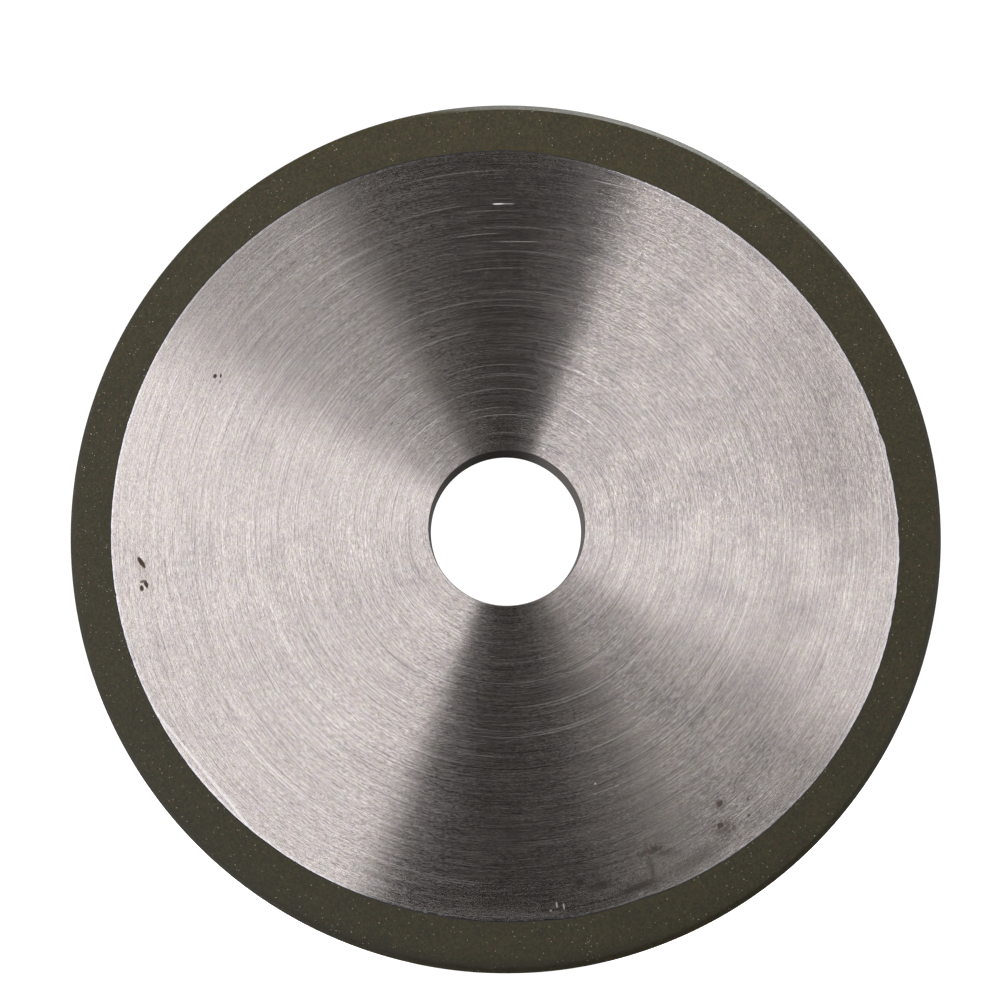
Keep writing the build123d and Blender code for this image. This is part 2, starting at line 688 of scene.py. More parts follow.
FACE_BLEMISHES = {
    Mark.RUST: (
        Blemish(185.5, 74.5, 1.4, 0.45, turn_deg=30.0, ragged=0.2),
        Blemish(189.5, 75.0, 0.6, 0.4, ragged=0.15),
        Blemish(189.0, 74.0, 0.75, 0.4, turn_deg=15.0, ragged=0.15),
        Blemish(188.5, 74.5, 0.3, 0.7, ragged=0.15, strength=0.8),
        Blemish(152.5, 67.5, 0.5, 0.35, turn_deg=10.0, ragged=0.2),
        Blemish(152.0, 66.5, 0.45, 0.2, turn_deg=20.0, ragged=0.1),
        Blemish(153.0, 66.0, 0.25, 0.2, strength=0.6, ragged=0.1),
        Blemish(14.0, 79.0, 0.5, 0.4, turn_deg=40.0),
        Blemish(307.5, 70.0, 0.85, 0.65, ragged=0.4, strength=0.9),
        Blemish(305.5, 73.5, 0.8, 0.55, ragged=0.5, strength=0.9),
        Blemish(307.0, 75.5, 0.6, 0.45, ragged=0.5, strength=0.7),
        Blemish(311.5, 73.0, 0.35, 0.3, strength=0.8, ragged=0.1),
        Blemish(310.0, 75.5, 0.4, 0.35, strength=0.8, ragged=0.1),
        Blemish(293.5, 71.0, 0.8, 0.6, ragged=0.5, strength=0.6),
        Blemish(290.0, 78.0, 0.55, 0.3, ragged=0.4, strength=0.5),
        Blemish(293.0, 56.5, 0.3, 0.25, strength=0.5, ragged=0.1),
        Blemish(40.0, 62.0, 0.8, 0.5, front=False),
        Blemish(203.0, 35.0, 0.6, 0.4, turn_deg=25.0, front=False),
    ),
    Mark.STAIN: (
        Blemish(187.0, 74.5, 2.2, 0.9, turn_deg=10.0, soft=0.8, strength=0.16),
        Blemish(307.5, 70.5, 1.3, 1.0, soft=0.8, strength=0.3),
        Blemish(306.0, 74.5, 2.0, 1.4, soft=0.8, ragged=0.8, strength=0.6),
        Blemish(294.0, 71.0, 2.2, 0.8, soft=0.6, ragged=0.8, strength=0.8),
        Blemish(293.0, 74.0, 4.2, 0.6, turn_deg=80.0, soft=0.9, ragged=0.4, strength=0.5),
        Blemish(296.0, 72.5, 2.5, 0.8, turn_deg=-20.0, soft=0.8, ragged=0.5, strength=0.55),
        Blemish(281.5, 72.5, 1.0, 0.7, soft=0.6, ragged=0.5, strength=0.8),
        Blemish(284.5, 74.0, 2.8, 0.8, soft=0.7, ragged=0.6, strength=0.7),
        Blemish(290.0, 76.5, 4.6, 0.8, soft=0.7, ragged=0.6, strength=0.7),
        Blemish(300.0, 76.5, 6.0, 1.2, soft=0.9, ragged=0.8, strength=0.45),
        Blemish(15.0, 67.0, 20.0, 9.0, soft=0.95, ragged=0.6, strength=0.2),
        Blemish(336.0, 60.0, 13.0, 8.0, soft=0.95, ragged=0.6, strength=0.12),
        Blemish(318.0, 55.0, 5.5, 2.6, soft=0.7, front=False, strength=0.5),
    ),
    Mark.SCRATCH: (
        Blemish(277.5, 76.0, 0.18, 0.6, ragged=0.05, strength=0.45),
        Blemish(278.5, 76.5, 0.18, 0.6, ragged=0.05, strength=0.45),
        Blemish(268.0, 77.0, 15.0, 0.7, soft=0.9, ragged=0.6, strength=0.1),
        Blemish(276.5, 77.0, 0.25, 0.25, strength=0.4, ragged=0.05),
        Blemish(289.0, 54.5, 0.2, 0.2, strength=0.5, ragged=0.05),
        Blemish(220.0, 78.0, 35.0, 0.25, ragged=0.05, strength=0.7),
        Blemish(91.5, 67.5, 1.2, 0.12, strength=0.9, ragged=0.05),
        Blemish(90.0, 67.5, 1.8, 0.1, strength=0.4, ragged=0.05),
        Blemish(88.0, 59.5, 5.0, 0.1, turn_deg=2.0, strength=0.3, ragged=0.1),
        Blemish(72.5, 75.0, 5.0, 0.12, turn_deg=4.0, strength=0.35, ragged=0.05),
        Blemish(66.0, 74.0, 6.5, 0.12, turn_deg=7.0, strength=0.3, ragged=0.05),
        Blemish(128.0, 57.0, 6.0, 0.12, turn_deg=9.0, front=False, strength=0.8),
    ),
}


@dataclass(frozen=True)
class TurnedSteel:
    """Face-turned steel: a circular brushed sheen, tool marks, faint clouds, rust and stains, with a
    painted glint and painted shade along some marks, painted shade on the bore wall and a painted
    highlight on the outer lip.
    """

    bright: Colour = (0.665, 0.603, 0.597)
    dull: Colour = (0.495, 0.449, 0.443)
    rust: Colour = (0.050, 0.028, 0.015)
    stain: Colour = (0.16, 0.13, 0.11)
    # painted glint and painted shade laid along the longest tool marks
    painted_glint_arc: Colour = (0.95, 0.91, 0.90)
    painted_shade_arc: Colour = (0.24, 0.21, 0.21)
    scratch: Colour = (0.95, 0.93, 0.92)
    rubbed: Colour = (0.8, 0.76, 0.75)
    # painted shade for the bore wall
    painted_bore_shade: Colour = (0.055, 0.046, 0.041)
    # painted highlight for the core's outer lip
    painted_lip_highlight: Colour = (0.90, 0.88, 0.95)
    handled_from: Colour = (1.0, 0.0, 0.2)  # the side of the face that hands have clouded
    mark_mm: float = 12.0
    marks_per_mm: float = 2.1
    roughness: float = 0.13
    anisotropy: float = 1.0
    slope: float = 0.9
    lean: float = 0.012

    def make(self, effects: Effects, sizes: WheelSizes) -> bpy.types.Material:
        """Builds the material.

        Args:
            effects: the shared shader groups.
            sizes: the wheel's sizes, for the worn corners.

        Returns:
            The material.
        """
        material, w, shader = new_material("turned_steel")
        here = w.group(effects.place)
        marks = w.group(effects.marks, Length=self.mark_mm, Pitch=self.marks_per_mm)
        cloud, haze, breath = (
            w.group(effects.cloud, Size=size, Seed=seed)
            for size, seed in ((9.0, 4.0), (3.2, 11.0), (1.3, 23.0))
        )
        colour = w.mix(marks["Marks"], (*self.dull, 1.0), (*self.bright, 1.0))
        grain = w.ramp(marks["Grain"], 0.25, 0.75, 0.92, 1.08)
        colour = w.mix(1.0, colour, w.combine(grain, grain, grain), "MULTIPLY")
        handled = w.vector("DOT_PRODUCT", here["Outward"], self.handled_from)
        handled = w.ramp(handled, -0.3, 0.5, 0.4)
        colour = w.tinted(
            colour, cloud["Value"], (0.72, 0.73, 0.75), (1.25, 1.24, 1.22), handled
        )
        colour = w.tinted(colour, haze["Value"], (0.97, 0.90, 0.94), (1.03, 1.10, 1.04))
        colour = w.tinted(colour, breath["Value"], (0.95, 0.97, 1.07), (1.05, 1.03, 0.92))
        rust, stain, scratch = self._blemishes(w, effects)
        worn = w.group(
            effects.wear,
            Radius=sizes.bore_radius / MM,
            Depth=sizes.half_width / MM,
            Reach=0.35,
        )
        mouth = sizes.bore_radius / MM
        # the bore wall, which gets painted shade: dark, rough and mostly matt
        in_bore = w.ramp(here["Radius"], mouth + 0.16, mouth + 0.1)
        colour = w.layers(
            colour,
            # the longest tool marks: a painted glint on the bright arcs, painted shade on the dark ones
            (w.times(marks["Bright"], 0.5), self.painted_glint_arc),
            (w.times(marks["Dark"], 0.4), self.painted_shade_arc),
            (stain, self.stain),
            (rust, self.rust),
            (scratch, self.scratch),
            (w.times(worn["Mask"], 0.25), self.rubbed),
            # painted shade on the bore wall
            (w.times(in_bore, 0.92), self.painted_bore_shade),
            # painted highlight on the core's outer lip
            (w.times(w.attribute("rubbed"), 0.6), self.painted_lip_highlight),
        )
        w.feed(shader.inputs["Base Color"], colour)
        rough = w.plus(self.roughness - 0.02, w.times(marks["Marks"], 0.03))
        for amount, share in (
            (cloud["Patch"], 0.02),
            (w.larger(rust, stain), 0.3),
            (in_bore, 0.45),
        ):
            rough = w.plus(rough, w.times(amount, share))
        w.feed(shader.inputs["Roughness"], rough)
        # scratches lose some metalness, and so, as part of their painted glint, do the bright arcs
        raised = w.larger(scratch, w.times(marks["Bright"], 0.2))
        # the bore wall's painted shade is mostly matt
        matt = w.larger(w.larger(rust, w.times(in_bore, 0.85)), w.times(raised, 0.8))
        w.feed(shader.inputs["Metallic"], w.minus(1.0, matt))
        shader.inputs["Anisotropic"].default_value = self.anisotropy
        along_cut = w.node("ShaderNodeTangent", direction_type="UV_MAP", uv_map="turning")
        w.feed(shader.inputs["Tangent"], along_cut.outputs[0])
        surface = w.node("ShaderNodeNewGeometry").outputs["Normal"]
        tilt = w.vector("SCALE", here["Round"], w.times(marks["Lean"], self.lean))
        steep = w.vector("SCALE", here["Outward"], w.times(marks["Slope"], self.slope))
        tilt = w.vector("ADD", tilt, steep)
        leaning = w.vector("NORMALIZE", w.vector("ADD", surface, tilt))
        height = w.minus(marks["Marks"], w.times(rust, 3.0))
        bump = w.bump(w.minus(height, w.times(scratch, 2.0)), 0.15, 0.03)
        w.feed(bump.inputs["Normal"], leaning)
        w.feed(shader.inputs["Normal"], bump.outputs[0])
        return material

    @staticmethod
    def _blemishes(w: Wiring, effects: Effects) -> tuple[object, object, object]:
        """Places every blemish.

        Args:
            w: the material's wiring.
            effects: the shared shader groups.

        Returns:
            The masks of rust, of stains and of scratches.
        """
        masks: dict[Mark, object] = {kind: 0.0 for kind in Mark}
        for kind, spots in FACE_BLEMISHES.items():
            for spot in spots:
                placed = w.group(
                    effects.spot,
                    Azimuth=math.radians(spot.azimuth_deg),
                    Radius=spot.radius_mm,
                    Length=spot.length_mm,
                    Width=spot.width_mm,
                    Turn=math.radians(spot.turn_deg),
                    Side=-1.0 if spot.front else 1.0,
                    Soft=spot.soft,
                    Ragged=spot.ragged,
                )
                weighed = w.times(placed["Mask"], spot.strength)
                masks[kind] = w.larger(masks[kind], weighed)
        return masks[Mark.RUST], masks[Mark.STAIN], masks[Mark.SCRATCH]


@dataclass(frozen=True)
class DiamondBond:
    """The rim's resin bond: olive-brown, matt, mottled, with glinting grains, worn corners, and painted
    highlight and shade on the front bevel and near it.
    """

    olive: Colour = (0.0355, 0.0320, 0.0090)
    warm: Colour = (0.0410, 0.0255, 0.0095)
    # dark colours both the grain's dark mottle and the painted shade
    dark: Colour = (0.0140, 0.0125, 0.0060)
    light: Colour = (0.0850, 0.0770, 0.0360)
    # worn colours both the worn outer corner and the bevel's painted highlight
    worn: Colour = (0.096, 0.094, 0.079)
    glint: Colour = (0.75, 0.74, 0.62)
    roughness: float = 0.5

    def make(self, effects: Effects, sizes: WheelSizes) -> bpy.types.Material:
        """Builds the material.

        Args:
            effects: the shared shader groups.
            sizes: the wheel's sizes, for the worn corners.

        Returns:
            The material.
        """
        material, w, shader = new_material("diamond_bond")
        grain = w.group(effects.grain, Size=0.42)
        cloud = w.group(effects.cloud, Size=7.0, Seed=2.0)
        colour = w.layers(
            (*self.olive, 1.0),
            (w.ramp(grain["Warm"], 0.42, 0.62), self.warm),
            (w.ramp(grain["Mottle"], 0.62, 0.38, 0.0, 0.7), self.dark),
            (w.ramp(grain["Height"], 0.52, 0.75, 0.0, 0.5), self.light),
        )
        colour = w.tinted(colour, cloud["Value"], (0.8, 0.8, 0.82), (1.2, 1.2, 1.16))
        outer = w.group(
            effects.wear,
            Radius=sizes.outer_radius / MM - 0.5,
            Depth=sizes.half_width / MM - 0.4,
            Reach=0.8,
        )
        rubbed = w.attribute("rubbed")
        colour = w.layers(
            colour,
            (w.times(outer["Mask"], 0.06), self.worn),
            # painted shade, from negative 'rubbed' values
            (w.ramp(rubbed, 0.0, -1.0, 0.0, 0.75), self.dark),
            # painted highlight on the bevel, from positive 'rubbed' values
            (w.ramp(rubbed, 0.0, 1.0), self.worn),
        )
        glint = w.mix(0.75, grain["Tint"], (*self.glint, 1.0))
        colour = w.mix(w.times(grain["Specks"], 0.5), colour, glint)
        w.feed(shader.inputs["Base Color"], colour)
        rough = w.minus(self.roughness + 0.06, w.times(grain["Specks"], 0.35))
        w.feed(shader.inputs["Roughness"], w.minus(rough, w.times(outer["Mask"], 0.12)))
        w.feed(shader.inputs["Normal"], w.bump(grain["Height"], 0.5, 0.06).outputs[0])
        return material


@dataclass(frozen=True)
class BondFilm:
    """The cured film in the joint: dark, a little glossier than the rim."""

    colour: Colour = (0.012, 0.009, 0.013)
    roughness: float = 0.4

    def make(self, effects: Effects) -> bpy.types.Material:
        """Builds the material.

        Args:
            effects: the shared shader groups.

        Returns:
            The material.
        """
        material, w, shader = new_material("bond_film")
        grain = w.group(effects.grain, Size=0.3)
        light = tuple(1.8 * part for part in self.colour)
        colour = w.layers((*self.colour, 1.0), (grain["Mottle"], light))
        w.feed(shader.inputs["Base Color"], colour)
        rough = w.plus(self.roughness - 0.1, w.times(grain["Height"], 0.2))
        w.feed(shader.inputs["Roughness"], rough)
        w.feed(shader.inputs["Normal"], w.bump(grain["Height"], 0.4, 0.03).outputs[0])
        return material


@dataclass(frozen=True)
class DiamondGrain:
    """Diamond grains: pale, glassy facets, each grain with its own tint."""

    roughness: float = 0.18

    def make(self) -> bpy.types.Material:
        """Builds the material, which reads the tint stored with each grain.

        Returns:
            The material.
        """
        material, w, shader = new_material("diamond_grain")
        flaw = w.noise(w.object_place(), 9000.0, 2.0, 0.5).outputs["Fac"]
        colour = w.mix(w.ramp(flaw, 0.35, 0.7), w.attribute("tint", "Color"), grey(0.25))
        w.feed(shader.inputs["Base Color"], colour)
        rough = w.plus(self.roughness - 0.06, w.times(flaw, 0.2))
        w.feed(shader.inputs["Roughness"], rough)
        shader.inputs["IOR"].default_value = 2.2
        return material


def new_material(name: str) -> tuple[bpy.types.Material, Wiring, bpy.types.Node]:
    """Starts a material.

    Args:
        name: the material's name.

    Returns:
        The material, its wiring, and its Principled shader.
    """
    material = bpy.data.materials.new(name)
    material.use_nodes = True
    shader = next(n for n in material.node_tree.nodes if n.type == "BSDF_PRINCIPLED")
    return material, Wiring(material.node_tree), shader


# ---------------------------------------------------------------- the wheel's pieces


def azimuths() -> np.ndarray:
    """Evenly spaced azimuths round the wheel, in radians."""
    return np.arange(COLUMNS) * (2 * math.pi / COLUMNS)


@dataclass(frozen=True)
class Joints:
    """The visible joint between core and rim on each face."""

    front: JointLine = JointLine(
        waves=((0.55, 220.0), (1.1, -19.5), (0.3, -18.0)),
        ragged_mm=0.012,
        rough_sector_deg=2.0,
        rough_sector_mm=0.03,
        bumps=(
            Bump(12.5, 1.0, 0.15),
            Bump(14.5, 0.5, -0.2),
            Bump(17.0, 0.5, -0.15),
            Bump(1.5, 0.5, 0.15),
            Bump(-11.5, 0.5, 0.1),
            Bump(-13.0, 0.5, -0.1),
            Bump(-4.5, 0.5, 0.1),
            Bump(88.0, 9.0, 0.35),
            Bump(279.0, 2.5, 0.2),
            Bump(290.0, 3.0, -0.25),
        ),
        seed=5,
    )
    back: JointLine = JointLine(
        waves=((0.4, 60.0), (0.5, 35.0), (0.2, 10.0)),
        ragged_mm=0.015,
        rough_sector_deg=250.0,
        rough_sector_mm=0.05,
        bumps=(Bump(240.0, 1.5, 0.3), Bump(100.0, 4.0, -0.2)),
        seed=6,
    )


@dataclass(frozen=True)
class SteelCore:
    """The turned steel disc: two flat faces, a bore with broken edges, an outer lip with a painted
    highlight.
    """

    sizes: WheelSizes
    joints: Joints
    bore_break_mm: float = 0.15
    lip_mm: float = 0.14
    # the strip next to the lip and the lip's rounding get a painted highlight
    lip_highlight_mm: float = 0.7
    face_rings: int = 20
    bore_rows: int = 8
    bore_marks_mm: float = 0.006
    joint_power: int = 8  # how late, on the way out, the rings start to follow the joint
    lip_highlight_rows: tuple[tuple[float, float], ...] = ((0.5, 0.35), (0.0, 1.0))  # place, amount
    lip_deg: tuple[float, ...] = (30.0, 60.0, 90.0)

    def build(self, material: bpy.types.Material) -> bpy.types.Object:
        """Makes the core's skin.

        The profile goes out along the front face, over the lip, through to the back, home along
        the back face and forward along the bore. On a face the ring at share t of the way out
        has radius start + t (reach - start) + (joint - core) t^8, where reach is the core's
        radius less the strip with the painted lip highlight, so rings stay round except close to
        the joint.

        Args:
            material: the steel finish.

        Returns:
            The skin, which stands for the CAD core.
        """
        size = self.sizes
        azimuth = azimuths()
        ring = Ring(azimuth)
        edge = self.bore_break_mm * MM
        for line, side in ((self.joints.front, -1.0), (self.joints.back, 1.0)):
            half = Ring(azimuth)
            joint = line.radius(size.core_radius, azimuth)
            self._face(half, joint, edge)
            ring.take(half, turned=side > 0)
        reach = size.half_width - edge
        grooves = smooth_noise((self.bore_rows, 1), (0.6, 0.0), 9)[:, 0]
        for step in range(self.bore_rows + 1):
            depth = reach - 2 * reach * step / self.bore_rows
            groove = 0.0 if step in (0, self.bore_rows) else abs(grooves[step])
            ring.row(size.bore_radius + groove * self.bore_marks_mm * MM, depth)
        return ring.build("steel_core_skin", material)

    def _face(self, half: Ring, joint: np.ndarray, edge: float) -> None:
        """Adds the rows of the front face, from the bore's broken edge to the lip.

        Args:
            half: the ring that takes the rows.
            joint: the joint's radius at each azimuth, in metres.
            edge: the size of the broken edge, in metres.
        """
        size = self.sizes
        start = size.bore_radius + edge
        lip = self.lip_mm * MM
        reach = size.core_radius - self.lip_highlight_mm * MM
        for share in np.linspace(0.0, 1.0, self.face_rings):
            radius = start + share * (reach - start)
            half.row(radius + (joint - size.core_radius) * share**self.joint_power, -size.half_width)
        # painted highlight on the strip next to the lip, and below on the lip's rounding
        for inside, rubbed in self.lip_highlight_rows:
            radius = joint - lip - inside * (self.lip_highlight_mm * MM - lip)
            half.row(radius, -size.half_width, rubbed)
        for angle in np.radians(self.lip_deg):
            radius = joint - lip * (1 - math.sin(angle))
            half.row(radius, -size.half_width + lip * (1 - math.cos(angle)), 1.0)


@dataclass(frozen=True)
class FilmRing:
    """The bonding film: fills the gap between core and rim, a hair below both faces."""

    sizes: WheelSizes
    joints: Joints
    sunk_mm: float = 0.07
    uneven_mm: float = 0.012
    shares: tuple[float, ...] = (0.02, 0.35, 0.65, 0.98)

    def build(self, material: bpy.types.Material) -> bpy.types.Object:
        """Makes the film's skin: a box section whose walls follow the joint lines.

        Args:
            material: the film's finish.

        Returns:
            The skin, which stands for the CAD film.
        """
        size = self.sizes
        azimuth = azimuths()
        ring = Ring(azimuth)
        depth = size.half_width - self.sunk_mm * MM
        uneven = smooth_noise((1, COLUMNS), (0.0, 4.0), 21)[0] * self.uneven_mm * MM
        for line, side in ((self.joints.front, -1.0), (self.joints.back, 1.0)):
            joint = line.radius(size.core_radius, azimuth)
            for share in self.shares if side < 0 else reversed(self.shares):
                height = depth - uneven * (share * (1 - share) * 4)
                ring.row(joint + share * size.film, side * height)
        return ring.build("bond_film_skin", material)


@dataclass(frozen=True)
class DiamondRim:
    """The diamond section: dressed corners, a rubbed lower edge and a fine uneven surface, with painted
    highlight and shade on the front bevel and painted shade near the bottom.
    """

    sizes: WheelSizes
    joints: Joints
    across_mm: float = 1.15
    deep_mm: float = 0.75
    sway: float = 0.06
    corner_mm: float = 0.1
    sunk_mm: float = 0.05
    tread_sunk_mm: float = 0.03
    relief_mm: float = 0.014
    rubbed_mm: float = 0.28
    rubbed_width_mm: float = 3.0
    rubbed_at_deg: float = 266.0
    rubbed_spread: float = 0.75  # in radians
    # the bevel's painted highlight sector, and its painted light at the right and painted shade at the
    # left
    painted_highlight_at_deg: float = 72.0
    painted_highlight_width_deg: float = 28.0
    painted_side_light: float = 0.4
    painted_side_light_at_deg: float = -45.0
    # the next value sets the painted shade near the rubbed corner at the bottom
    grimy: float = 0.8
    face_rings: int = 16
    tread_rows: int = 12
    tucked_mm: float = 0.25  # how far the face's inner edge is turned down into the joint
    eased_mm: float = 0.02
    bevel_shares: tuple[float, ...] = (0.08, 0.5, 0.92)

    def rubbed(self, azimuth: np.ndarray) -> np.ndarray:
        """How far the front corner is rubbed away at each azimuth, from 0 to 1; it also weighs the
        painted shade at the bottom.
        """
        turn = azimuth - math.radians(self.rubbed_at_deg)
        return np.exp(-((turn / self.rubbed_spread) ** 2))

    def near_bevel(self, inside: np.ndarray) -> np.ndarray:
        """1 at the bevel, falling as (1 - inside / width)^1.5; inside is in metres."""
        return np.clip(1 - inside / (self.rubbed_width_mm * MM), 0.0, 1.0) ** 1.5

    def pale(self, azimuth: np.ndarray, share: float) -> np.ndarray:
        """The light painted on the bevel: a painted highlight over one sector near the top, painted light
        at the right, and painted shade at the left and at the bottom.

        With s = exp(-(angle from the sector's middle / its half-width)^4) and the share t of the
        way down the bevel, it is 2 s - (1 - t), so the painted highlight tapers towards the tread at
        both ends. It is kept below 1 and above a painted side light, the side's strength times
        cos(angle from the side's middle), less the painted bottom shade times how far the corner is
        rubbed; this floor is a painted highlight at the right, and below 0, so painted shade, at
        the left and where the corner is rubbed away.

        Args:
            azimuth: the azimuths, in radians.
            share: the share of the way down the bevel.

        Returns:
            The painted light, from -1, darkest painted shade, to 1, brightest painted highlight.
        """
        turn = angle_from(azimuth, self.painted_highlight_at_deg)
        strength = np.exp(-((turn / math.radians(self.painted_highlight_width_deg)) ** 4))
        painted_side_light = self.painted_side_light * np.cos(azimuth - math.radians(self.painted_side_light_at_deg))
        painted_side_light = painted_side_light - self.grimy * self.rubbed(azimuth)
        return np.clip(2 * strength - (1 - share), painted_side_light, 1.0)

    def build(self, material: bpy.types.Material) -> bpy.types.Object:
        """Makes the rim's skin.

        The profile goes out along the front face, down the bevel, across the tread and home on
        the back. The front face falls by rubbed x s^1.5 over the last few millimetres, where s
        rises from 0 to 1 at the bevel, and every point is sunk by a little smooth noise.

        Args:
            material: the bond's finish.

        Returns:
            The skin, which stands for the CAD rim.
        """
        size = self.sizes
        azimuth = azimuths()
        ring = Ring(azimuth)
        front, back = Ring(azimuth), Ring(azimuth)
        self._face(front, self.joints.front.radius(size.core_radius, azimuth), 31, True)
        self._face(back, self.joints.back.radius(size.core_radius, azimuth), 32, False)
        ring.take(front)
        reach = size.half_width - (self.deep_mm * (1 + 2 * self.sway) + self.corner_mm) * MM
        relief = np.abs(smooth_noise((self.tread_rows, COLUMNS), (0.7, 1.2), 33))
        for step in range(self.tread_rows):
            share = (step + 1) / (self.tread_rows + 1)
            sunk = (self.tread_sunk_mm + relief[step] * self.relief_mm) * MM
            ring.row(size.outer_radius - sunk, -reach + 2 * reach * share)
        ring.take(back, turned=True)
        return ring.build("diamond_rim_skin", material)

    def _face(self, half: Ring, joint: np.ndarray, seed: int, worn: bool) -> None:
        """Adds the rows of one face, from the joint out to the foot of the bevel.

        The bevel's widths sway together by a few hundredths round the wheel.

        Args:
            half: the ring that takes the rows.
            joint: the joint's radius at each azimuth, in metres.
            seed: the random seed of this face's relief.
            worn: whether the face has the rubbed stretch, with painted shade near it, and the painted
                light on the bevel.
        """
        size = self.sizes
        azimuth = half.azimuth
        sunk = self.sunk_mm * MM
        sway = smooth_noise((1, COLUMNS), (0.0, 60.0), seed + 10)[0] * self.sway
        sway = 1 + np.clip(sway, -2 * self.sway, 2 * self.sway)
        across, deep = self.across_mm * MM * sway, self.deep_mm * MM * sway
        outer = size.outer_radius - self.tread_sunk_mm * MM
        brow = outer - across
        start = joint + size.film * 1.02
        relief = np.abs(smooth_noise((self.face_rings, COLUMNS), (0.8, 1.3), seed))
        fall = self.rubbed(azimuth) * self.rubbed_mm * MM if worn else 0.0
        floor = -size.half_width + sunk
        half.row(start, floor + self.tucked_mm * MM)
        for step in range(self.face_rings):
            share = step / (self.face_rings - 1)
            radius = start + share * (brow - start)
            near = self.near_bevel(brow - radius)
            rough = (relief[step] * self.relief_mm if step else self.eased_mm) * MM
            # painted shade on the face near the bevel at the bottom
            dark = self.grimy * self.rubbed(azimuth) * near if worn else 0.0
            half.row(radius, floor + rough + fall * near, -dark)
        corner = self.corner_mm * MM
        length = math.hypot(self.across_mm, self.deep_mm)
        crumbs = np.abs(smooth_noise((3, COLUMNS), (0.4, 1.5), seed + 20)) * self.relief_mm * MM
        for step, share in enumerate(self.bevel_shares):
            radius = brow + share * across - crumbs[step] * self.deep_mm / length
            depth = floor + share * deep + fall * (1 - share)
            # painted highlight and painted shade along the bevel
            pale = self.pale(azimuth, share) if worn else 0.0
            half.row(radius, depth + crumbs[step] * self.across_mm / length, pale)
        half.row(outer - corner * 0.1, floor + deep, self.pale(azimuth, 1.0) if worn else 0.0)
        half.row(outer, floor + deep + corner)


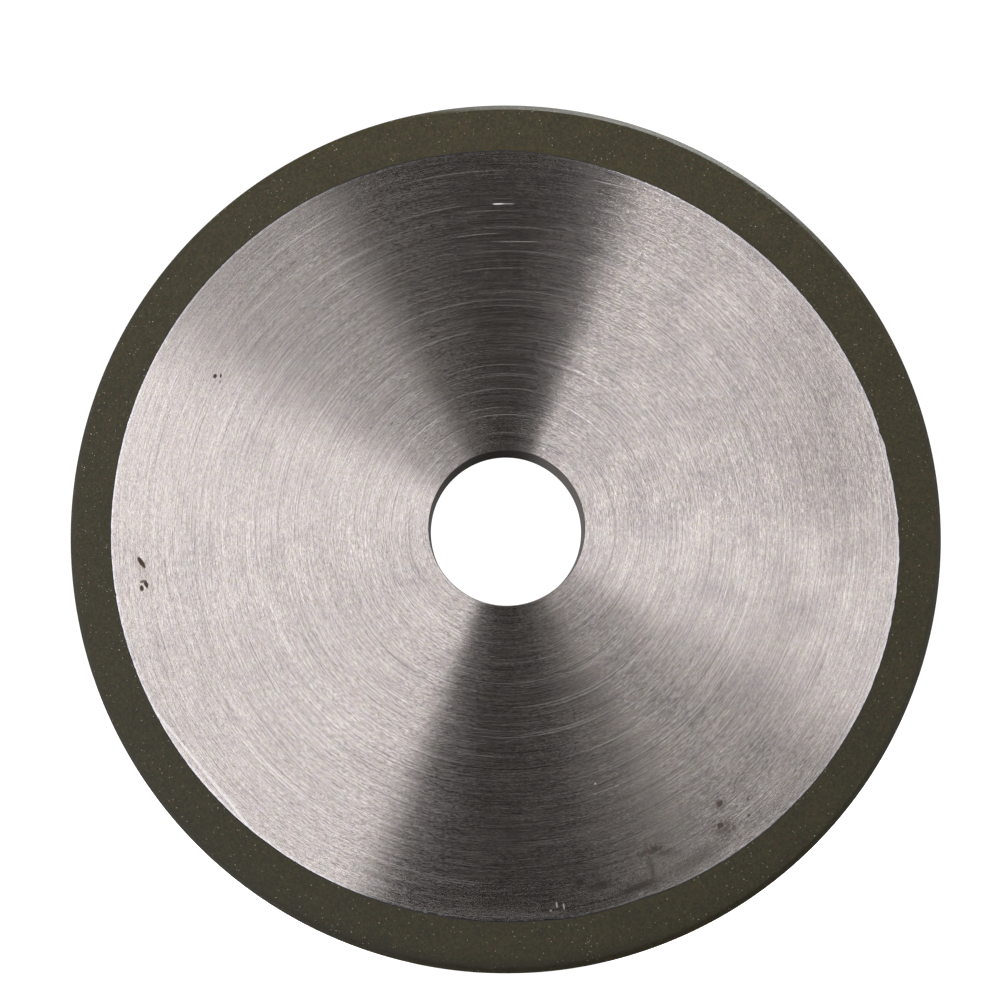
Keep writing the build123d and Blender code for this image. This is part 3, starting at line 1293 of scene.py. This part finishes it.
@dataclass(frozen=True)
class Grit:
    """Diamond grains that stand in the rim's skin: small tilted octahedra, no two alike."""

    sizes: WheelSizes
    joints: Joints
    rim: DiamondRim
    on_face: int = 1500
    on_tread: int = 1700
    smallest_mm: float = 0.05
    largest_mm: float = 0.32
    crowding: float = 0.65
    clear_mm: float = 0.15
    sunk_mm: float = 0.03
    dimmest: float = 0.06
    tints: tuple[Colour, ...] = (
        (0.85, 0.86, 0.88),
        (0.86, 0.82, 0.48),
        (0.62, 0.78, 0.50),
        (0.78, 0.68, 0.52),
    )
    tint_shares: tuple[float, ...] = (0.4, 0.3, 0.15, 0.15)
    seed: int = 77

    def build(self, material: bpy.types.Material) -> bpy.types.Object:
        """Makes all grains as one object.

        Each grain is the octahedron (+-a, 0, 0), (0, +-b, 0), (0, 0, +-c), turned by a random
        rotation and moved to a random place in the skin. Whatever would stand proud of the
        wheel's box is pressed back to it.

        Args:
            material: the grains' finish.

        Returns:
            The grains.
        """
        dice = np.random.default_rng(self.seed)
        centres = np.concatenate(
            [self._on_face(dice, -1.0), self._on_face(dice, 1.0), self._on_tread(dice)]
        )
        count = len(centres)
        corners = np.array(
            [[1, 0, 0], [-1, 0, 0], [0, 1, 0], [0, -1, 0], [0, 0, 1], [0, 0, -1]], float
        )
        scale = self.smallest_mm + (self.largest_mm - self.smallest_mm) * dice.random(count) ** 3
        axes = scale[:, None] * dice.uniform(0.7, 1.1, (count, 3)) * 0.5 * MM
        turned = np.einsum("nij,nkj->nki", random_turns(dice, count), corners * axes[:, None, :])
        points = centres[:, None, :] + turned
        limit = self.sizes.half_width
        points[..., 1] = np.clip(points[..., 1], -limit, limit)
        spread = np.hypot(points[..., 0], points[..., 2])
        squeeze = np.minimum(1.0, (self.sizes.outer_radius - self.rim.tread_sunk_mm * MM) / spread)
        points[..., 0] *= squeeze
        points[..., 2] *= squeeze
        facets = np.array(
            [
                [0, 2, 4], [2, 1, 4], [1, 3, 4], [3, 0, 4],
                [2, 0, 5], [1, 2, 5], [3, 1, 5], [0, 3, 5],
            ]
        )
        faces = (np.arange(count) * 6)[:, None, None] + facets
        piece = mesh_object("diamond_grit", points.reshape(-1, 3), faces.reshape(-1, 3), material)
        chosen = np.array(self.tints)[dice.choice(len(self.tints), count, p=self.tint_shares)]
        colours = np.ones((count, 6, 4))
        glow = self.dimmest + (1 - self.dimmest) * dice.random((count, 1, 1)) ** 1.6
        colours[..., :3] = chosen[:, None, :] * glow
        layer = piece.data.color_attributes.new("tint", "FLOAT_COLOR", "POINT")
        layer.data.foreach_set("color", colours.astype(np.float32).ravel())
        return piece

    def _on_face(self, dice: np.random.Generator, side: float) -> np.ndarray:
        """Random places on one face of the rim, denser on the left.

        Args:
            dice: the source of random numbers.
            side: -1 for the front, 1 for the back.

        Returns:
            One place for each grain, in metres.
        """
        size = self.sizes
        azimuth = dice.random(self.on_face) * 2 * math.pi
        azimuth = azimuth + self.crowding * np.sin(azimuth)
        line = self.joints.front if side < 0 else self.joints.back
        inner = line.radius(size.core_radius, azimuths())
        inner = np.interp(azimuth, azimuths(), inner, period=2 * math.pi) + size.film + self.clear_mm * MM
        outer = size.outer_radius - (self.rim.across_mm * (1 + 2 * self.rim.sway)) * MM
        radius = np.sqrt(inner**2 + dice.random(self.on_face) * (outer**2 - inner**2))
        near = self.rim.near_bevel(outer - radius)
        fall = self.rim.rubbed(azimuth) * self.rim.rubbed_mm * MM * near
        depth = size.half_width - self.rim.sunk_mm * MM - (fall if side < 0 else 0.0)
        depth = depth - dice.uniform(0.0, self.sunk_mm, self.on_face) * MM
        return on_wheel(radius, side * depth, azimuth)

    def _on_tread(self, dice: np.random.Generator) -> np.ndarray:
        """Random places on the tread.

        Args:
            dice: the source of random numbers.

        Returns:
            One place for each grain, in metres.
        """
        size = self.sizes
        azimuth = dice.random(self.on_tread) * 2 * math.pi
        reach = size.half_width - (self.rim.deep_mm * (1 + 2 * self.rim.sway)) * MM
        depth = dice.uniform(-reach, reach, self.on_tread)
        sunk = self.rim.tread_sunk_mm + dice.uniform(0.0, self.sunk_mm, self.on_tread)
        radius = size.outer_radius - sunk * MM
        return on_wheel(radius, depth, azimuth)


def random_turns(dice: np.random.Generator, count: int) -> np.ndarray:
    """Random rotation matrices, worked out from unit quaternions.

    Args:
        dice: the source of random numbers.
        count: how many.

    Returns:
        count matrices of 3 by 3.
    """
    quaternion = dice.standard_normal((count, 4))
    w, x, y, z = (quaternion / np.linalg.norm(quaternion, axis=1, keepdims=True)).T
    rows = (
        (1 - 2 * (y * y + z * z), 2 * (x * y - z * w), 2 * (x * z + y * w)),
        (2 * (x * y + z * w), 1 - 2 * (x * x + z * z), 2 * (y * z - x * w)),
        (2 * (x * z - y * w), 2 * (y * z + x * w), 1 - 2 * (x * x + y * y)),
    )
    return np.stack([np.stack(row, axis=-1) for row in rows], axis=1)


# ---------------------------------------------------------------- studio


@dataclass(frozen=True)
class Cloth:
    """One panel of the light tent. Between two panels the brightness runs smoothly across."""

    start_deg: float
    end_deg: float
    level: float


@dataclass(frozen=True)
class Studio:
    """A pale floor, a light tent bright at left and right, two softboxes and the camera."""

    sizes: WheelSizes
    camera_place: tuple[float, float, float] = (-0.0043, -0.3274, -0.0255)
    tilt_deg: float = 5.54
    turn_deg: float = 0.52
    lens_mm: float = 56.9
    overhead_deg: float = 70.0
    overhead_distance: float = 0.55
    overhead_size: tuple[float, float] = (0.5, 0.3)
    overhead_power: float = 2.4
    fill_place: tuple[float, float, float] = (-0.03, -0.20, 0.30)
    fill_size: tuple[float, float] = (0.4, 0.2)
    fill_power: float = 1.15
    backdrop: float = 1.1
    floor_half: float = 4.0
    floor_gap_mm: float = 0.05
    dark_from: float = 0.10  # the tent is black where its direction's |y| is below this
    white_from: float = 0.38  # and at its full level where |y| is above this
    tent: tuple[Cloth, ...] = (
        Cloth(0, 4, 1.0),
        Cloth(14, 50, 0.7),
        Cloth(87, 108, 0.06),
        Cloth(121, 136, 0.78),
        Cloth(151, 186, 1.6),
        Cloth(194, 241, 1.45),
        Cloth(252, 284, 0.03),
        Cloth(302, 326, 0.28),
        Cloth(346, 360, 1.0),
    )

    def build(self) -> None:
        """Makes the floor, the lights and the camera."""
        self._tent()
        self._floor()
        self._softboxes()
        self._camera()
        view = bpy.context.scene.view_settings
        view.view_transform = "Standard"
        view.look = "None"

    def _tent(self) -> None:
        """The world: white to the eye, and for the lighting a ring of lighter and darker cloth.

        The cloth darkens towards the wheel's own plane, so the rim's corners stay dark at the
        sides.
        """
        world = bpy.data.worlds.new("light_tent")
        world.use_nodes = True
        bpy.context.scene.world = world
        w = Wiring(world.node_tree)
        world.node_tree.nodes.clear()
        direction = w.node("ShaderNodeSeparateXYZ")
        w.feed(direction.inputs[0], w.node("ShaderNodeTexCoord").outputs["Generated"])
        turn = w.math("ARCTAN2", direction.outputs[2], direction.outputs[0])
        share = w.math("FRACT", w.math("DIVIDE", turn, 2 * math.pi))
        ramp = w.node("ShaderNodeValToRGB")
        ramp.color_ramp.interpolation = "EASE"
        stops = ramp.color_ramp.elements
        edges = [
            (edge, cloth.level)
            for cloth in self.tent
            for edge in (cloth.start_deg, cloth.end_deg)
        ]
        stops[0].position, stops[1].position = 0.0, 1.0
        stops[0].color, stops[1].color = self._cloth(edges[0][1]), self._cloth(edges[-1][1])
        for degrees, level in edges[1:-1]:
            stops.new(degrees / 360).color = self._cloth(level)
        w.feed(ramp.inputs[0], share)
        open_end = w.ramp(w.math("ABSOLUTE", direction.outputs[1]), self.dark_from, self.white_from)
        cloth = w.vector("SCALE", ramp.outputs[0], open_end)
        seen = w.node("ShaderNodeLightPath").outputs["Is Camera Ray"]
        shade = w.node("ShaderNodeBackground")
        w.feed(shade.inputs["Color"], w.mix(seen, cloth, grey(self.backdrop)))
        end = w.node("ShaderNodeOutputWorld")
        w.feed(end.inputs["Surface"], shade.outputs[0])

    @staticmethod
    def _cloth(level: float) -> tuple[float, float, float, float]:
        """The tent's colour at this level: the dark cloth is a little warmer than the white."""
        warm = max(0.0, 1.0 - level / 0.5)
        return (level, level * (1 - 0.03 * warm), level * (1 - 0.16 * warm), 1.0)

    def _floor(self) -> None:
        """A pale floor just under the wheel. Only the camera sees it, so it throws no light up."""
        half = self.floor_half
        height = self.sizes.lowest - self.floor_gap_mm * MM
        corners = np.array([[-half, -half], [half, -half], [half, half], [-half, half]])
        points = np.column_stack([corners, np.full(4, height)])
        material, w, shader = new_material("studio_floor")
        shader.inputs["Base Color"].default_value = grey(0.82)
        shader.inputs["Roughness"].default_value = 0.9
        shader.inputs["Emission Color"].default_value = grey(1.0)
        shader.inputs["Emission Strength"].default_value = 1.0
        floor = mesh_object("studio_floor", points, np.array([[0, 1, 2, 3]]), material)
        floor.visible_diffuse = False
        floor.visible_glossy = False

    def _softbox(
        self,
        name: str,
        place: tuple[float, float, float],
        size: tuple[float, float],
        power: float,
    ) -> bpy.types.Object:
        """Adds a softbox that faces the wheel's middle.

        Args:
            name: the softbox's name.
            place: where it hangs, in metres.
            size: its length along the wheel's plane and its depth, in metres.
            power: its power, in watts.

        Returns:
            The softbox.
        """
        lamp = bpy.data.lights.new(name, "AREA")
        lamp.shape = "RECTANGLE"
        lamp.size, lamp.size_y = size
        lamp.energy = power
        placed = bpy.data.objects.new(name, lamp)
        placed.location = place
        placed.rotation_euler = Vector(place).to_track_quat("Z", "Y").to_euler()
        bpy.context.scene.collection.objects.link(placed)
        return placed

    def _softboxes(self) -> None:
        """One softbox over the wheel, behind its face, for the bevel's top, and one for the bond.

        The second fills the matt surfaces only, more above than below.
        """
        angle = math.radians(self.overhead_deg)
        place = (
            self.overhead_distance * math.cos(angle),
            self.overhead_size[1] / 2,
            self.overhead_distance * math.sin(angle),
        )
        self._softbox("overhead_softbox", place, self.overhead_size, self.overhead_power)
        fill = self._softbox("fill_softbox", self.fill_place, self.fill_size, self.fill_power)
        fill.visible_glossy = False

    def _camera(self) -> None:
        """The camera, a little below the wheel's centre and looking up at it."""
        lens = bpy.data.cameras.new("camera")
        lens.lens = self.lens_mm
        lens.sensor_width = 36.0
        lens.clip_start = 0.01
        placed = bpy.data.objects.new("camera", lens)
        placed.location = self.camera_place
        tilt, turn = math.radians(90.0 + self.tilt_deg), math.radians(-self.turn_deg)
        placed.rotation_euler = (tilt, 0.0, turn)
        bpy.context.scene.collection.objects.link(placed)
        bpy.context.scene.camera = placed


# ---------------------------------------------------------------- putting it together


def shade(piece: bpy.types.Object) -> None:
    """Smooth shading, with the sharp corners kept sharp."""
    count = len(piece.data.polygons)
    piece.data.polygons.foreach_set("use_smooth", np.ones(count, dtype=bool))
    piece.data.set_sharp_from_angle(angle=math.radians(SHARP_DEG))


def report(piece: bpy.types.Object, what: str) -> None:
    """Says what a finished piece is and how many faces it has."""
    LOG.info("%s: %s, %d faces", piece.name, what, len(piece.data.polygons))


def main() -> None:
    """Builds the studio and the wheel's four visible pieces."""
    logging.basicConfig(level=logging.INFO, format="%(message)s")
    sizes = WheelSizes.from_frame()
    joints = Joints()
    effects = Effects()
    Studio(sizes).build()

    core = SteelCore(sizes, joints).build(TurnedSteel().make(effects, sizes))
    shade(core)
    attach(core, BODY)
    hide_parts("steel_core")
    report(core, "turned steel core")

    film = FilmRing(sizes, joints).build(BondFilm().make(effects))
    shade(film)
    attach(film, BODY)
    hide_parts("bond_film")
    report(film, "bonding film")

    shape = DiamondRim(sizes, joints)
    rim = shape.build(DiamondBond().make(effects, sizes))
    shade(rim)
    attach(rim, BODY)
    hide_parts("diamond_rim")
    report(rim, "diamond section")

    grit = Grit(sizes, joints, shape).build(DiamondGrain().make())
    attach(grit, BODY)
    report(grit, "diamond grains in the skin")


if __name__ == "__main__":
    main()
